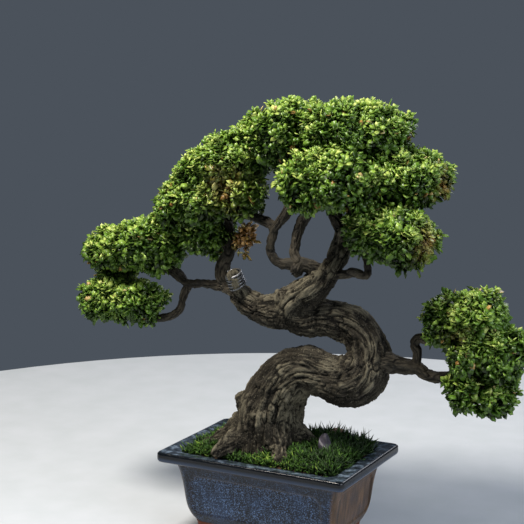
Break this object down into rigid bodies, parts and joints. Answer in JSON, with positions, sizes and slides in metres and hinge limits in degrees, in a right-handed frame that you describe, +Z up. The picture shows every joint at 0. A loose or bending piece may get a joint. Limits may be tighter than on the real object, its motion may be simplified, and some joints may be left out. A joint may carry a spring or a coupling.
{
  "type": "bonsai tree in a pot",
  "caption": "Small trained tree with a bent trunk and leaf pads, planted in mossy soil in a glazed rectangular footed pot.",
  "frame": {"origin": "on the ground under the middle of the pot", "axes": "+Z up, +X along the pot's long side, +Y towards the back of the tree"},
  "size_m": [0.379, 0.114, 0.341],
  "materials": {
    "glazed_stoneware": "dark navy gloss glaze with pale blue speckle, bare brown clay feet",
    "plastic_mesh": "matt",
    "clip_wire": "dull",
    "soil": "damp, granular",
    "moss": "fine upright blades",
    "grey_stone": "broken, dull",
    "tan_stone": "worn, dull",
    "old_bark": "deeply furrowed",
    "young_bark": "smooth, dull",
    "training_wire": "bright drawn",
    "leaf": "small waxy leaves",
    "dry_leaf": "dry, curled"
  },
  "bodies": {
    "root": {"pot": "glazed_stoneware", "drain_screen_left": "plastic_mesh", "drain_screen_right": "plastic_mesh", "screen_clip_left": "clip_wire", "screen_clip_right": "clip_wire", "soil": "soil", "branch_far_right": "young_bark", "branch_hook": "young_bark", "branch_left": "young_bark", "branch_left_riser": "young_bark", "branch_middle": "young_bark", "branch_middle_riser": "young_bark", "branch_right": "young_bark", "branch_upper_right": "young_bark", "moss_back": "moss", "moss_front": "moss", "moss_front_left": "moss", "moss_front_right": "moss", "moss_left": "moss", "moss_right": "moss", "pad_crown_left": "leaf", "pad_crown_right": "leaf", "pad_far_right_lower": "leaf", "pad_far_right_middle": "leaf", "pad_far_right_outer": "leaf", "pad_far_right_upper": "leaf", "pad_left": "leaf", "pad_left_inner": "leaf", "pad_lower_left": "leaf", "pad_middle": "leaf", "pad_middle_inner": "leaf", "pad_middle_left": "leaf", "pad_right": "leaf", "pad_upper_left": "leaf", "pad_upper_right": "leaf", "stone_grey": "grey_stone", "stone_tan": "tan_stone", "training_wire": "training_wire", "trunk": "old_bark", "tuft_dry": "dry_leaf"}
  },
  "joints": []
}
